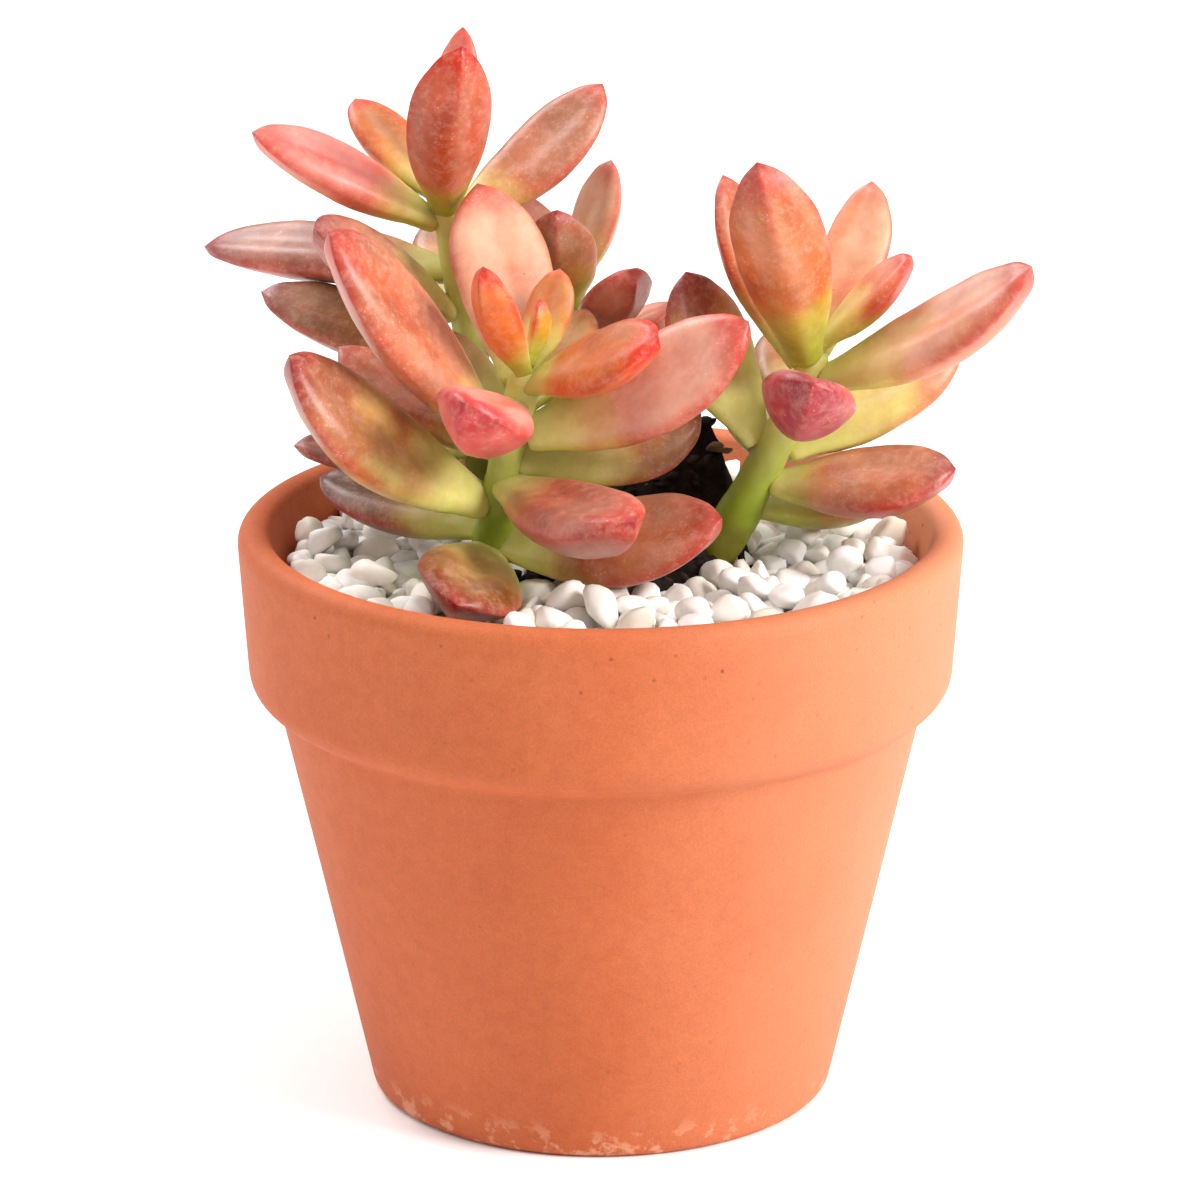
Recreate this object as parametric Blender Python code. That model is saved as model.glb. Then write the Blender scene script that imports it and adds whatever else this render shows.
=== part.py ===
"""Sedum succulent in a terracotta pot. Lengths are in millimetres until the meshes are made; +Z is up and
the front is -Y. The origin is the centre of the pot's foot."""

import math

import bmesh
import bpy
from mathutils import Matrix, Vector, noise

MM = 0.001

# Pot
RIM_DIAMETER = 108.0
POT_HEIGHT = 87.8
BAND_HEIGHT = 27.0
BASE_DIAMETER = 69.0
BODY_TOP_DIAMETER = 96.2
WALL = 5.0
FLOOR = 6.0
LIP_ROUND = 2.4
INNER_LIP_ROUND = 1.8
BAND_ROUND = 4.4
BAND_DRAFT = 1.5
EDGE_BEVEL = 0.8
DRAIN_DIAMETER = 13.0
POT_SEGMENTS = 72

# Filling
PEBBLE_DROP = 4.6
PEBBLE_DEPTH = 5.0
PEBBLE_SIZE = 5.6
PEBBLE_RISE = 1.9
PEBBLE_SPOTS = 420
BED_SEGMENTS = 108
BED_RINGS = 11
SOIL_DEPTH = 22.0
SOIL_SEGMENTS = 48
SOIL_RINGS = 13
SOIL_ROUGHNESS = 1.1
CROWN_DROP = 1.4
MOUND_HEIGHT = 17.5
MOUND_AT = (15.0, 18.0)
MOUND_SPREAD = 15.0

# The bare soil round the plant: its middle, its reach, how much further it goes toward stem b, and the wave
# of its edge, all laid out for a rim of this radius.
PLANTING = (-1.0, 5.0)
OPENING_REACH = 24.5
OPENING_TOWARD_B = 4.5
OPENING_WAVE = 0.8
OPENING_RIM_RADIUS = 54.0

# Plant
PLANT_SCALE = 1.0
ROOT_DEPTH = 9.0
PLANT_ABOVE_PEBBLES = 0.8
STEM_SIDES = 10
STEM_RINGS = 7

# Clearances
GAP = 0.45
SOIL_EDGE_GAP = 0.6
LEAF_GAP = 0.5
SOCKET_GAP = 0.5

# Colours
CLAY = (0.62, 0.25, 0.12)
PEBBLE_WHITE = (0.80, 0.77, 0.72)
SOIL_BLACK = (0.030, 0.021, 0.016)
STEM_GREEN = (0.42, 0.50, 0.12)
LEAF_RED = (0.60, 0.26, 0.16)

RIM_RADIUS = RIM_DIAMETER / 2
INNER_RADIUS = RIM_RADIUS - WALL
PEBBLE_TOP = POT_HEIGHT - PEBBLE_DROP
PEBBLE_BASE = PEBBLE_TOP - PEBBLE_DEPTH
SOIL_TOP = PEBBLE_BASE - GAP
CROWN_LEVEL = PEBBLE_TOP - CROWN_DROP
PLANT_LEVEL = PEBBLE_TOP + PLANT_ABOVE_PEBBLES

# Each stem: foot x, y; top x, y and height over the planting level; foot and top radius; sideways bow x, y.
STEMS = {
    "a": ((-17.0, 14.0), (-23.0, 15.0, 47.0), (2.9, 2.2), (1.0, 0.0)),
    "b": ((-16.5, -10.0), (-11.0, -11.0, 29.0), (2.9, 2.3), (-0.6, 0.0)),
    "c": ((17.5, 0.0), (31.3, -4.0, 30.0), (3.3, 2.2), (0.6, 0.0)),
    "d": ((1.0, 21.0), (-4.5, 20.0, 32.0), (2.4, 1.9), (0.6, 0.0)),
}

# Each leaf: stem, place along the stem (0 foot to 1 top), azimuth, rise, reach, width, thickness, bow below
# the chord, sway to the side, roll.
LEAVES = {
    "a01": ("a", 0.95, -168, 29, 33.8, 11.5, 7.2, -1, 0, -25),
    "a02": ("a", 1.05, 130, 28, 24, 10.5, 5.5, 0.3, 0, 0),
    "a03": ("a", 1.01, -79, 62, 32.5, 12.5, 6.5, 1.5, 1.5, 0),
    "a04": ("a", 1.12, 62, 72, 22.5, 7.2, 4.5, 0.5, 0.0, 0),
    "a05": ("a", 0.96, 28, 36, 32.0, 12, 7, 2, 0, 25),
    "a07": ("a", 0.81, 149, -3, 45.8, 11.5, 7.5, -1.5, 0.0, -25),
    "a08": ("a", 0.49, 167, 17, 34.5, 12.0, 7.5, -0.5, 0.0, -25),
    "a09": ("a", 0.64, -145, 35, 33, 14, 8, -1, 0, -30),
    "a11": ("a", 0.66, 100, 18, 28.0, 11.0, 6.5, 1.0, 0.0, 0),
    "a15": ("a", 0.23, 180, 1, 28.5, 9.0, 6.0, 0.5, 0.0, -20),
    "b01": ("b", 0.90, 107, 50, 34.9, 15, 6, 1.5, 2, 0),
    "b02": ("b", 0.60, -156, 53, 46, 16, 9, -0.3, 0, -43),
    "b03": ("b", 1.02, -128, 62, 21.0, 8.0, 5.0, 1.0, 0.0, 0),
    "b04": ("b", 1.01, 58, 57, 17, 7.8, 4.5, 1, 0, 0),
    "b05": ("b", 1.13, -8, 80, 8.5, 4.4, 3.4, 0.2, 0, 0),
    "b06": ("b", 0.97, -38, 25, 27.2, 13, 7, 0.3, 0, 35),
    "b07": ("b", 0.85, -106, 17, 27.5, 14.0, 9.5, 2.0, 0.0, -20),
    "b08": ("b", 0.68, -16, 30, 41.5, 16, 10, 3, 0, 50),
    "b09": ("b", 0.31, -152, 40, 43.5, 16.5, 9.5, 3, 0, -46),
    "b10": ("b", 0.45, -59, 6, 38.0, 14.5, 9.5, 2.0, 0.0, 15),
    "b11": ("b", 0.13, -25, 13, 38.0, 15.5, 9.0, 2.5, 0.0, 40),
    "b12": ("b", 0.09, -98, 3, 32, 16, 8, 0, 0, -25),
    "b13": ("b", 0.56, 20, 9, 31, 15, 7.5, 1.5, 0, 45),
    "b14": ("b", 0.59, 155, 26, 30.5, 11, 6.2, 1, 0, -20),
    "b15": ("b", 0.76, 119, 22, 24, 8.4, 4.4, 1, 0, 0),
    "b16": ("b", 0.19, 145, 5, 32.0, 11.0, 7.0, 0.5, 0.0, -20),
    "b17": ("b", 0.80, 61, 28, 24, 10, 6, 1, 0, 0),
    "c01": ("c", 0.93, -123, 67, 38.1, 13.8, 7, 1, -1.5, 30),
    "c02": ("c", 0.90, 144, 62, 32.3, 12, 6, 1, 0, 0),
    "c03": ("c", 0.97, 62, 50, 30.5, 10.5, 5.6, 1.5, 0.5, 0),
    "c04": ("c", 1.11, -9, 46, 18.2, 9.4, 5.0, 0, 0, 20),
    "c05": ("c", 0.86, -29, 32, 43.5, 14, 8.5, 2.5, 0, 35),
    "c06": ("c", 0.46, 21, 28.5, 35.5, 12.8, 7.8, 2, 0, 28),
    "c07": ("c", 0.84, -88, 18, 28.5, 14.0, 10.0, 2.0, 0.0, -18),
    "c08": ("c", 0.48, 154, 63, 30.0, 14.5, 7.0, 1.5, 0.0, -25),
    "c09": ("c", 0.34, -13, 8, 30.5, 13.5, 9.0, 1.0, 0.0, 25),
    "c10": ("c", 0.20, 27, -6, 24.5, 9.0, 5.5, 0.0, 0.0, 10),
    "c12": ("c", 0.50, 100, 5, 24, 8, 5.5, 1, 0, 0),
    "c13": ("c", 0.70, 90, 18, 25, 10, 6, 1, 0, 0),
    "d01": ("d", 1.05, 42, 66, 20.8, 9.2, 5, 0.5, 0, 0),
    "d02": ("d", 0.96, -102, 59, 21.5, 10.5, 6, 1, 0, 0),
    "d03": ("d", 0.83, -60, 42, 21.5, 11.0, 6.0, 1.0, 0.0, 0),
    "d04": ("d", 0.78, 0, 25, 15.5, 9.0, 5.5, 0.5, 0.0, 0),
    "d05": ("d", 0.95, 120, 42, 22.0, 9.5, 5.5, 1.0, 0.0, 0),
    "d06": ("d", 0.55, 84, 10, 27.0, 10.5, 6.5, 1.0, 0.0, 0),
    "d07": ("d", 0.45, 35, 12, 26.0, 10.0, 6.0, 1.0, 0.0, 0),
}

# Hollows in the pebbles under the leaves that rest on them: x, y, radius, depth.
HOLLOWS = (
    (-19.5, -22.0, 8.5, 3.2),
    (-22.0, -31.0, 8.0, 3.4),
    (-24.0, -39.0, 7.0, 3.2),
    (34.0, 8.0, 9.0, 1.6),
    (-36.0, 3.0, 9.0, 1.4),
    (8.0, -20.0, 9.0, 1.6),
)

# Leaf outline from neck to tip: place along the blade, share of the width, share of the thickness.
BLADE = (
    (0.00, 0.42, 0.50),
    (0.06, 0.50, 0.58),
    (0.16, 0.66, 0.74),
    (0.30, 0.85, 0.92),
    (0.46, 0.98, 1.00),
    (0.62, 1.00, 0.98),
    (0.77, 0.88, 0.84),
    (0.88, 0.63, 0.62),
    (0.955, 0.33, 0.36),
)
KEEL_SHARE = 0.66
UPPER_POINTS = (0.62, 0.0, -0.62)
LOWER_POINTS = (-0.80, -0.42, 0.0, 0.42, 0.80)


def material(name, colour, roughness):
    made = bpy.data.materials.new(name)
    made.use_nodes = True
    shader = made.node_tree.nodes["Principled BSDF"]
    shader.inputs["Base Color"].default_value = (*colour, 1.0)
    shader.inputs["Roughness"].default_value = roughness
    return made


def solid(name, points, faces, colour, roughness, smooth=True):
    """One closed mesh object from points in millimetres, with its faces turned outward."""
    mesh = bpy.data.meshes.new(name)
    mesh.from_pydata([Vector(p) * MM for p in points], [], faces)
    shape = bmesh.new()
    shape.from_mesh(mesh)
    bmesh.ops.recalc_face_normals(shape, faces=shape.faces)
    for face in shape.faces:
        face.smooth = smooth
    shape.to_mesh(mesh)
    shape.free()
    mesh.materials.append(material(name + "_material", colour, roughness))
    made = bpy.data.objects.new(name, mesh)
    bpy.context.scene.collection.objects.link(made)
    return made


def loft(rings, start=None, end=None):
    """Points and faces of a tube through equal rings, each end closed on a point or with one flat face."""
    count = len(rings[0])
    points = [p for ring in rings for p in ring]
    faces = []
    for row in range(len(rings) - 1):
        for i in range(count):
            j = (i + 1) % count
            low, high = row * count, (row + 1) * count
            faces.append((low + i, low + j, high + j, high + i))
    last = (len(rings) - 1) * count
    if start is None:
        faces.append(tuple(reversed(range(count))))
    else:
        points.append(start)
        faces += [((i + 1) % count, i, len(points) - 1) for i in range(count)]
    if end is None:
        faces.append(tuple(last + i for i in range(count)))
    else:
        points.append(end)
        faces += [(last + i, last + (i + 1) % count, len(points) - 1) for i in range(count)]
    return points, faces


def lathe(profile, segments):
    """Points and faces of a closed profile of (radius, height) turned about Z."""
    points, faces = [], []
    count = len(profile)
    for k in range(segments):
        turn = 2 * math.pi * k / segments
        points += [(r * math.cos(turn), r * math.sin(turn), z) for r, z in profile]
    for k in range(segments):
        here, there = k * count, (k + 1) % segments * count
        for i in range(count):
            j = (i + 1) % count
            faces.append((here + i, there + i, there + j, here + j))
    return points, faces


def arc(centre, radius, start, stop, steps):
    """Profile points on an arc, angles in degrees from +r toward +z."""
    out = []
    for k in range(steps + 1):
        turn = math.radians(start + (stop - start) * k / steps)
        out.append((centre[0] + radius * math.cos(turn), centre[1] + radius * math.sin(turn)))
    return out


def inner_radius(z):
    """Radius of the inside of the pot at a height."""
    foot = BASE_DIAMETER / 2 - WALL + 0.6
    share = (z - FLOOR) / (POT_HEIGHT - FLOOR)
    return foot + (INNER_RADIUS - foot) * share


def pot_profile():
    band_foot = POT_HEIGHT - BAND_HEIGHT
    body_top = BODY_TOP_DIAMETER / 2
    base = BASE_DIAMETER / 2
    drain = DRAIN_DIAMETER / 2
    lip = (RIM_RADIUS - LIP_ROUND - 0.1, POT_HEIGHT - LIP_ROUND)
    corner_at = (RIM_RADIUS - BAND_DRAFT - BAND_ROUND, band_foot + BAND_ROUND + 1.0)
    inner_lip_at = (INNER_RADIUS + INNER_LIP_ROUND, POT_HEIGHT - INNER_LIP_ROUND - 0.1)
    profile = [(drain, FLOOR - EDGE_BEVEL), (drain, EDGE_BEVEL), (drain + EDGE_BEVEL, 0.0)]
    profile += [(base - 0.9, 0.0), (base + 0.1, 0.9)]
    profile += [(body_top, band_foot - 0.2), (body_top + 0.25, band_foot + 0.5)]
    profile += arc(corner_at, BAND_ROUND, -78, -4, 5)
    profile += arc(lip, LIP_ROUND, 3, 92, 4)
    profile += arc(inner_lip_at, INNER_LIP_ROUND, 100, 176, 3)
    profile += [(inner_radius(POT_HEIGHT - BAND_HEIGHT), POT_HEIGHT - BAND_HEIGHT)]
    profile += [(inner_radius(FLOOR + 3.0), FLOOR + 3.0), (inner_radius(FLOOR) - 2.6, FLOOR)]
    profile += [(drain + EDGE_BEVEL, FLOOR)]
    return profile


def opening_radius(turn):
    """How far the bare soil reaches from the middle of the planting, in the direction `turn`."""
    toward_b = math.cos(turn - math.radians(224))
    reach = OPENING_REACH + OPENING_TOWARD_B * max(0.0, toward_b) ** 4
    reach += OPENING_WAVE * math.sin(3 * turn + 1.0)
    return reach * RIM_RADIUS / OPENING_RIM_RADIUS


def bed_points():
    """Seeded centres of the pebbles in the bed, on a sunflower spiral."""
    golden = math.pi * (3 - math.sqrt(5))
    spots = []
    for k in range(PEBBLE_SPOTS):
        r = PEBBLE_SIZE * 0.52 * math.sqrt(k + 0.5)
        if r < INNER_RADIUS + PEBBLE_SIZE:
            spots.append((r * math.cos(k * golden), r * math.sin(k * golden), k))
    return spots


def pebble_height(x, y, spots):
    """Top of the bed over (x, y): the highest of the round pebble tops there."""
    top = 0.0
    for sx, sy, k in spots:
        away = math.hypot(x - sx, y - sy) / (PEBBLE_SIZE * 0.62)
        if away < 1.0:
            lift = 0.72 + 0.28 * math.sin(k * 12.9)
            top = max(top, math.sqrt(1.0 - away * away) * lift)
    dip = 0.0
    for hx, hy, reach, depth in HOLLOWS:
        away = math.hypot(x - hx, y - hy) / reach
        if away < 1.0:
            dip = max(dip, depth * min(1.0, 2.2 * (1.0 - away)))
    rise = PEBBLE_RISE * (1.0 - 0.12 * dip)
    return PEBBLE_TOP - dip - rise + rise * (2.0 * top - 0.8)


def make_pebbles():
    segments, rings = BED_SEGMENTS, BED_RINGS
    spots = bed_points()
    outer = inner_radius(PEBBLE_BASE) - GAP
    columns = []
    for i in range(segments):
        turn = 2 * math.pi * i / segments
        reach = opening_radius(turn)
        inner = Vector((PLANTING[0] + reach * math.cos(turn), PLANTING[1] + reach * math.sin(turn)))
        rim = Vector((math.cos(turn), math.sin(turn))) * outer
        column = [(inner.x, inner.y, PEBBLE_BASE)]
        for k in range(rings):
            share = k / (rings - 1)
            at = inner.lerp(rim, 0.02 + 0.98 * share)
            edge = min(1.0, 5.0 * min(share + 0.06, 1.06 - share))
            high = pebble_height(at.x, at.y, spots)
            column.append((at.x, at.y, PEBBLE_BASE + (high - PEBBLE_BASE) * (0.45 + 0.55 * edge)))
        column.append((rim.x, rim.y, PEBBLE_BASE))
        columns.append(column)
    count = len(columns[0])
    points = [p for column in columns for p in column]
    faces = []
    for i in range(segments):
        here, there = i * count, (i + 1) % segments * count
        for k in range(count):
            j = (k + 1) % count
            faces.append((here + k, there + k, there + j, here + j))
    solid("pebble_bed", points, faces, PEBBLE_WHITE, 0.6, smooth=False)


def soil_height(x, y):
    """Top of the soil: flat under the pebbles, raised in their opening, with one mound behind the middle."""
    dx, dy = x - PLANTING[0], y - PLANTING[1]
    reach = opening_radius(math.atan2(dy, dx)) - GAP - SOIL_EDGE_GAP
    inside = (reach - math.hypot(dx, dy)) / 3.0
    if inside <= 0:
        return SOIL_TOP
    level = SOIL_TOP + (CROWN_LEVEL - SOIL_TOP) * min(1.0, inside)
    mound = math.exp(-((x - MOUND_AT[0]) ** 2 + (y - MOUND_AT[1]) ** 2) / (MOUND_SPREAD * MOUND_SPREAD))
    rough = noise.noise(Vector((x, y, 3.0)) * 0.21) * SOIL_ROUGHNESS
    return level + (MOUND_HEIGHT * mound + rough) * min(1.0, inside)


def make_soil():
    segments, rings = SOIL_SEGMENTS, SOIL_RINGS
    floor_z = SOIL_TOP - SOIL_DEPTH
    top_radius = inner_radius(SOIL_TOP) - GAP
    rows = []
    for k in range(1, rings + 1):
        row = []
        for i in range(segments):
            turn = 2 * math.pi * i / segments
            reach = opening_radius(turn) - GAP - SOIL_EDGE_GAP
            mid = Vector((PLANTING[0] + reach * math.cos(turn), PLANTING[1] + reach * math.sin(turn)))
            rim = Vector((math.cos(turn), math.sin(turn))) * top_radius
            if k <= rings - 2:
                at = Vector(PLANTING).lerp(mid, k / (rings - 2))
            else:
                at = mid.lerp(rim, (k - rings + 2) / 2)
            row.append((at.x, at.y, soil_height(at.x, at.y)))
        rows.append(row)
    under = inner_radius(floor_z) - GAP
    rows.append([
        (under * math.cos(2 * math.pi * i / segments), under * math.sin(2 * math.pi * i / segments), floor_z)
        for i in range(segments)
    ])
    crown = (PLANTING[0], PLANTING[1], soil_height(*PLANTING))
    points, faces = loft(rows, start=crown)
    soil = solid("soil", points, faces, SOIL_BLACK, 0.95, smooth=False)
    for key in STEMS:
        cutter = make_stem("socket_" + key, key, SOCKET_GAP)
        cutter.hide_render = True
        socket = soil.modifiers.new("socket_" + key, "BOOLEAN")
        socket.operation = "DIFFERENCE"
        socket.solver = "EXACT"
        socket.object = cutter


def stem_foot(key):
    (x, y), _, _, _ = STEMS[key]
    return Vector((x, y, 0)) * PLANT_SCALE + Vector((0, 0, PLANT_LEVEL))


def stem_top(key):
    _, top, _, _ = STEMS[key]
    return Vector(top) * PLANT_SCALE + Vector((0, 0, PLANT_LEVEL))


def stem_point(key, share):
    """A point on the centreline: share 0 at soil level, 1 at the top, below 0 in the soil."""
    bow = Vector((*STEMS[key][3], 0)) * PLANT_SCALE
    inside = min(max(share, 0.0), 1.0)
    return stem_foot(key).lerp(stem_top(key), share) + bow * 4 * inside * (1 - inside)


def stem_radius(key, share):
    foot, top = STEMS[key][2]
    share = min(max(share, 0.0), 1.0)
    return (foot + (top - foot) * share) * PLANT_SCALE


def ring(centre, along, radius, sides):
    turned = Vector((0, 0, 1)).rotation_difference(along).to_matrix()
    return [
        centre + turned @ Vector((radius * math.cos(a), radius * math.sin(a), 0))
        for a in (2 * math.pi * i / sides for i in range(sides))
    ]


def make_stem(name, key, grow=0.0):
    length = (stem_top(key) - stem_foot(key)).length
    low = -(ROOT_DEPTH + grow) / length
    rings = []
    for k in range(STEM_RINGS):
        share = low + (1.0 - low) * k / (STEM_RINGS - 1)
        ahead = (stem_point(key, share + 0.01) - stem_point(key, share - 0.01)).normalized()
        swell = 1.0 + 0.05 * math.sin(9.0 * share)
        rings.append(ring(stem_point(key, share), ahead, stem_radius(key, share) * swell + grow, STEM_SIDES))
    ahead = (stem_top(key) - stem_point(key, 0.95)).normalized()
    radius = stem_radius(key, 1.0)
    rings.append(ring(stem_top(key) + ahead * radius * 0.6, ahead, radius * 0.72 + grow, STEM_SIDES))
    points, faces = loft(rings, end=stem_top(key) + ahead * (radius + grow))
    return solid(name, points, faces, STEM_GREEN, 0.5)


def stem_clearance(key, point):
    """Distance from a point to the skin of a stem."""
    best = 1e9
    for k in range(41):
        share = -0.2 + 1.2 * k / 40
        best = min(best, (point - stem_point(key, share)).length - stem_radius(key, share))
    return best


def leaf_rings(spec):
    """Rings of one leaf and its tip. It hangs from its stem by a clearance, its chord points along azimuth
    and rise, and its middle hangs below that chord by the bow."""
    key, place, azimuth, rise, reach, width, thick, bow, sway, roll = spec
    reach, width, thick, bow, sway = (PLANT_SCALE * v for v in (reach, width, thick, bow, sway))
    azimuth, rise = math.radians(azimuth), math.radians(rise)
    root = stem_point(key, place)
    chord = Vector((math.cos(azimuth) * math.cos(rise), math.sin(azimuth) * math.cos(rise), math.sin(rise)))
    level = Vector((-math.sin(azimuth), math.cos(azimuth), 0))
    upper = chord.cross(level)
    upper = upper if upper.z >= 0 or abs(upper.z) < 1e-6 else -upper
    bend = chord.cross(upper) * sway - upper * bow
    upper = Matrix.Rotation(math.radians(roll), 3, chord) @ upper

    def centre(share):
        return root + chord * reach * share + bend * 4 * share * (1 - share) * (0.6 + 0.4 * share)

    def section(share, width_share, thick_share):
        ahead = (centre(share + 0.01) - centre(share - 0.01)).normalized()
        side = ahead.cross(upper).normalized()
        rise_to = side.cross(ahead).normalized()
        half, body = width / 2 * width_share, thick * thick_share
        row = [centre(share) + side * half]
        for x in UPPER_POINTS:
            lift = body * (1 - KEEL_SHARE) * (1 - abs(x) ** 2.2) ** 0.6
            row.append(centre(share) + side * half * x + rise_to * lift)
        row.append(centre(share) - side * half)
        for x in LOWER_POINTS:
            drop = body * KEEL_SHARE * (1 - abs(x) ** 1.7) ** 0.75
            row.append(centre(share) + side * half * x - rise_to * drop)
        return row

    start = 0.02
    while start < 0.5:
        if min(stem_clearance(key, p) for p in section(start, *BLADE[0][1:])) >= LEAF_GAP:
            break
        start += 0.004
    rows = [section(start + (1 - start) * at, w, t) for at, w, t in BLADE]
    return rows, centre(1.0)


def make_leaf(name, spec):
    rows, tip = leaf_rings(spec)
    centre = sum(rows[0], Vector()) / len(rows[0])
    points, faces = loft(rows, start=centre, end=tip)
    solid(name, points, faces, LEAF_RED, 0.45)


def main():
    for old in list(bpy.data.objects):
        bpy.data.objects.remove(old, do_unlink=True)
    points, faces = lathe(pot_profile(), POT_SEGMENTS)
    solid("pot", points, faces, CLAY, 0.85, smooth=False)
    make_soil()
    make_pebbles()
    for key in STEMS:
        make_stem("stem_" + key, key)
    for name, spec in LEAVES.items():
        make_leaf("leaf_" + name, spec)


main()
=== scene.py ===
"""The looks of the potted succulent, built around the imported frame. Lengths are in metres; +Z is up and the
front is -Y."""

import math

import bmesh
import bpy
import numpy as np
from mathutils import Matrix, Vector, noise


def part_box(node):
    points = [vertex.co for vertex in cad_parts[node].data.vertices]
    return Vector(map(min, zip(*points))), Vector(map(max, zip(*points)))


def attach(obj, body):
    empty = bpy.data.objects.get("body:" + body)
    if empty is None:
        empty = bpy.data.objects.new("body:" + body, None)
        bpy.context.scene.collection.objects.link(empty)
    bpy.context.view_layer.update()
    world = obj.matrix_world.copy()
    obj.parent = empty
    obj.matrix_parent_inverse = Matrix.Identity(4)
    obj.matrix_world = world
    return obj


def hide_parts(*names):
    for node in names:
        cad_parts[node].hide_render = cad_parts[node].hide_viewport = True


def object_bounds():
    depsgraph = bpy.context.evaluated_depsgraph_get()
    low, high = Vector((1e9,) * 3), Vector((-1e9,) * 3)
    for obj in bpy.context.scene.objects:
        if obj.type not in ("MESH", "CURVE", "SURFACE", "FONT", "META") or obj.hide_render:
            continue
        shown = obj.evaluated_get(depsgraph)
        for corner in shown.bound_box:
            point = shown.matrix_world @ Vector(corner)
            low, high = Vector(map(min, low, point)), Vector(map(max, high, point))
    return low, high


MM = 0.001

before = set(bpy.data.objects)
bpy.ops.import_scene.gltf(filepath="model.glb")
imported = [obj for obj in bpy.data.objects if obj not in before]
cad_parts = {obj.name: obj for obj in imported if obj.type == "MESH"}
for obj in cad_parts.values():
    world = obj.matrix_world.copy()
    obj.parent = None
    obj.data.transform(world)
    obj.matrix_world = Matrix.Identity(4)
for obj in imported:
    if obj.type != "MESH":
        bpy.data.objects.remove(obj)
cad_low, cad_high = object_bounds()

# Camera: distance in front of the pot's axis, height over the floor, tilt below level, and lens, which like
# the sensor's width is in millimetres.
CAMERA_DISTANCE = 1.0
CAMERA_HEIGHT = 0.3997
CAMERA_TILT = math.radians(17.96)
CAMERA_LENS = 211.65
CAMERA_SHIFT = -0.0009
SENSOR_WIDTH = 36.0

# Mesh fineness: points round and along each kind of piece.
POT_TURNS = 256
POT_SPACING = 1.1 * MM
LEAF_ROWS = 48
LEAF_SIDES = 44
STEM_ROWS = 60
STEM_SIDES = 28

# How far a leaf's neck runs on toward its stem, and how far the pot's sharp corners are worn round.
NECK_REACH = 2.0 * MM
POT_CORNER = 0.8 * MM

# Pebbles: how many are dropped, their radius range and how many one piece holds. Then the soil's crumbs, and
# the seed of everything random.
PEBBLE_COUNT = 520
PEBBLE_RADIUS = (1.8 * MM, 3.3 * MM)
PEBBLES_PER_PIECE = 100
CRUMB_COUNT = 420
CRUMB_RADIUS = (0.4 * MM, 1.3 * MM)
SEED = 11

# Settling: steps, the drop in each, how near two touching stones come as a share of their radii, a leaf's
# clearance, and the smallest stone that is kept.
SETTLING_STEPS = 220
STEP_DROP = 0.22 * MM
STONE_CONTACT = 0.93
LEAF_CLEARANCE = 0.2 * MM
SMALLEST_STONE = 0.9 * MM


# ---------------------------------------------------------------------------------------------------------
# Reading the frame


def welded(node):
    """Points and triangles of a CAD node with its doubled corners joined."""
    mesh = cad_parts[node].data
    mesh.calc_loop_triangles()
    points = np.empty(len(mesh.vertices) * 3)
    mesh.vertices.foreach_get("co", points)
    corners = np.empty(len(mesh.loop_triangles) * 3, np.int32)
    mesh.loop_triangles.foreach_get("vertices", corners)
    _, first, index = np.unique(
        np.round(points.reshape(-1, 3), 6), axis=0, return_index=True, return_inverse=True
    )
    return points.reshape(-1, 3)[first], index.reshape(-1)[corners].reshape(-1, 3)


def layers_from(start, faces, count):
    """Point numbers ring by ring, each ring one edge further from the starting point."""
    near = [set() for _ in range(count)]
    for a, b, c in faces:
        near[a] |= {b, c}
        near[b] |= {a, c}
        near[c] |= {a, b}
    seen, layer, out = {start}, [start], []
    while layer:
        out.append(layer)
        layer = sorted({n for v in layer for n in near[v]} - seen)
        seen |= set(layer)
    return out


def smooth_through(knots, values, at):
    """Natural cubic curve through values at knots, read at other places."""
    knots, values, at = (np.asarray(v, float) for v in (knots, values, at))
    flat = values.reshape(len(knots), -1)
    gap = np.diff(knots)
    slope = np.diff(flat, axis=0) / gap[:, None]
    size = len(knots)
    matrix, right = np.eye(size), np.zeros_like(flat)
    for i in range(1, size - 1):
        matrix[i, i - 1 : i + 2] = gap[i - 1], 2 * (gap[i - 1] + gap[i]), gap[i]
        right[i] = 6 * (slope[i] - slope[i - 1])
    bend = np.linalg.solve(matrix, right)
    i = np.clip(np.searchsorted(knots, at) - 1, 0, size - 2)
    b = (at - knots[i])[:, None]
    a = gap[i][:, None] - b
    h = gap[i][:, None]
    out = (bend[i] * a**3 + bend[i + 1] * b**3) / (6 * h)
    out += (flat[i] / h - bend[i] * h / 6) * a + (flat[i + 1] / h - bend[i + 1] * h / 6) * b
    return out.reshape((len(at),) + values.shape[1:])


def unit(rows):
    return rows / np.linalg.norm(rows, axis=-1, keepdims=True)


def stem_line(node):
    """Centres and radii of a stem, from its root end to its top."""
    points, faces = welded(node)
    layers = layers_from(int(points[:, 2].argmax()), faces, len(points))
    layers = [layer for layer in layers if len(layer) >= 6][::-1]
    centres = np.array([points[layer].mean(0) for layer in layers])
    radii = np.array([
        np.linalg.norm(points[layer] - centre, axis=1).mean() for layer, centre in zip(layers, centres)
    ])
    return centres, radii


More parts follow.
